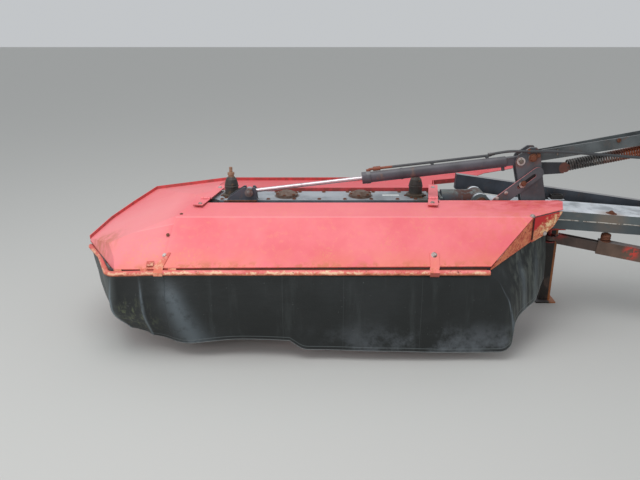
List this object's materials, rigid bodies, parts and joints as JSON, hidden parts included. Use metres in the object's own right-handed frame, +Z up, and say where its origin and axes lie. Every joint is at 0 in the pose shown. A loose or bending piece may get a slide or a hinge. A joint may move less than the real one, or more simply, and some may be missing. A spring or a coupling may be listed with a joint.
{
  "type": "drum mower",
  "caption": "Two-drum mower for a three-point linkage, parked: head with sheet canopy and curtain, lift cylinder, arm, relief spring and swing headstock.",
  "frame": {"origin": "middle of the footprint, on the floor", "axes": "+X along the mower from its outer end to the headstock, +Y backwards, +Z up"},
  "size_m": [3.9436, 1.2118, 1.204],
  "materials": {
    "faded_red": "sun-faded red paint with rust speckle",
    "rusty_red": "red paint rusted through to orange",
    "blue_grey": "weathered blue-grey paint",
    "graphite": "dark graphite paint, worn",
    "casting": "grimy casting",
    "worn_steel": "worn bare steel with rust",
    "chrome": "polished rod",
    "zinc": "plated pins and bolts",
    "curtain": "black coated canvas, creased",
    "hose": "black hose",
    "spring_steel": "blackened spring, rusting",
    "guard_plastic": "black plastic guard"
  },
  "bodies": {
    "headstock": {"cross_tube": "blue_grey", "hitch_jaws_left": "blue_grey", "hitch_jaws_right": "blue_grey", "mast": "blue_grey", "swing_lugs": "blue_grey", "swing_pin": "worn_steel"},
    "stand": {"parking_stand": "graphite"},
    "arm": {"main_arm": "blue_grey", "hinge_pin": "worn_steel", "rear_arm": "graphite", "upright": "graphite", "upright_pins": "zinc", "slotted_strut": "graphite", "lever": "graphite", "relief_spring": "spring_steel", "spring_anchor": "worn_steel", "tie": "graphite", "swing_frame": "blue_grey", "gearbox": "casting", "pto_guard": "guard_plastic", "strut_bracket": "faded_red", "lift_hose": "hose"},
    "leg": {"support_leg": "graphite"},
    "input_shaft": {"pto_stub": "worn_steel"},
    "head": {"gearcase": "blue_grey", "gearcase_neck": "blue_grey", "axle_caps": "casting", "spindles": "casting", "strap_hinges": "faded_red", "left_guard": "faded_red", "rear_guard": "faded_red", "rim_tube_left": "faded_red", "curtain_left": "curtain", "rod_bracket": "graphite"},
    "lid": {"front_guard": "faded_red", "side_flange": "rusty_red", "lid_leaves": "faded_red", "rim_tube_front": "faded_red", "curtain_front_left": "curtain", "curtain_front_right": "curtain", "curtain_right": "curtain"},
    "drum_l": {"drum_left": "faded_red", "knives_left": "worn_steel"},
    "drum_r": {"drum_right": "faded_red", "knives_right": "worn_steel"},
    "skid_l": {"skid_left": "worn_steel"},
    "skid_r": {"skid_right": "worn_steel"},
    "barrel": {"lift_barrel": "graphite", "lift_pipe": "graphite"},
    "ram": {"lift_rod": "chrome", "rod_pin": "zinc"},
    "strut_tube": {"strut_outer": "blue_grey"},
    "strut_bar": {"strut_inner": "worn_steel"}
  },
  "joints": [
    {"name": "break_away_swing", "type": "hinge", "parent": "headstock", "child": "arm", "pos_m": [1.57935, 0.0046, 0.6], "axis": [0, 0, -1], "range_deg": [0, 35]},
    {"name": "lift", "type": "hinge", "parent": "arm", "child": "head", "pos_m": [0.16135, 0.0046, 0.692], "axis": [0, 1, 0], "range_deg": [0, 88]},
    {"name": "barrel_pivot", "type": "hinge", "parent": "arm", "child": "barrel", "pos_m": [0.35135, -0.0804, 0.929], "axis": [0, 1, 0], "range_deg": [0, 87.4]},
    {"name": "rod_slide", "type": "slide", "parent": "barrel", "child": "ram", "axis": [0.993, 0, 0.1178], "range_m": [0, 0.42182]},
    {"name": "lid", "type": "hinge", "parent": "head", "child": "lid", "pos_m": [-0.70065, -0.1374, 0.73], "axis": [-1, 0, 0], "range_deg": [0, 75]},
    {"name": "drum_right_spin", "type": "hinge", "parent": "head", "child": "drum_r", "pos_m": [-0.18565, 0.0046, 0.3], "axis": [0, 0, 1], "continuous": true},
    {"name": "drum_left_spin", "type": "hinge", "parent": "head", "child": "drum_l", "pos_m": [-1.21565, 0.0046, 0.3], "axis": [0, 0, 1], "continuous": true},
    {"name": "input_spin", "type": "hinge", "parent": "arm", "child": "input_shaft", "pos_m": [1.42435, -0.1454, 0.64], "axis": [0, 1, 0], "continuous": true},
    {"name": "skid_right_spin", "type": "hinge", "parent": "head", "child": "skid_r", "pos_m": [-0.18565, 0.0046, 0.3], "axis": [0, 0, 1], "continuous": true},
    {"name": "skid_left_spin", "type": "hinge", "parent": "head", "child": "skid_l", "pos_m": [-1.21565, 0.0046, 0.3], "axis": [0, 0, 1], "continuous": true},
    {"name": "support_leg_slide", "type": "slide", "parent": "arm", "child": "leg", "axis": [0, 0, 1], "range_m": [0, 0.3]},
    {"name": "parking_stand_slide", "type": "slide", "parent": "headstock", "child": "stand", "axis": [0, 0, 1], "range_m": [0, 0.32]},
    {"name": "strut_pivot", "type": "hinge", "parent": "headstock", "child": "strut_tube", "pos_m": [1.34935, -0.2554, 0.382], "axis": [0, 0, -1], "range_deg": [0, 36.75]},
    {"name": "strut_slide", "type": "slide", "parent": "strut_tube", "child": "strut_bar", "axis": [-0.9401, 0.3259, 0.1003], "range_m": [0, 0.20873]}
  ],
  "couplings": [
    {"joint": "barrel_pivot", "follows": "lift", "ratio": 0.99319},
    {"joint": "rod_slide", "follows": "lift", "m_per_rad": 0.27464},
    {"joint": "drum_left_spin", "follows": "drum_right_spin", "ratio": -1},
    {"joint": "input_spin", "follows": "drum_right_spin", "ratio": 0.35},
    {"joint": "strut_pivot", "follows": "break_away_swing", "ratio": 1.05},
    {"joint": "strut_slide", "follows": "break_away_swing", "m_per_rad": 0.3417}
  ]
}
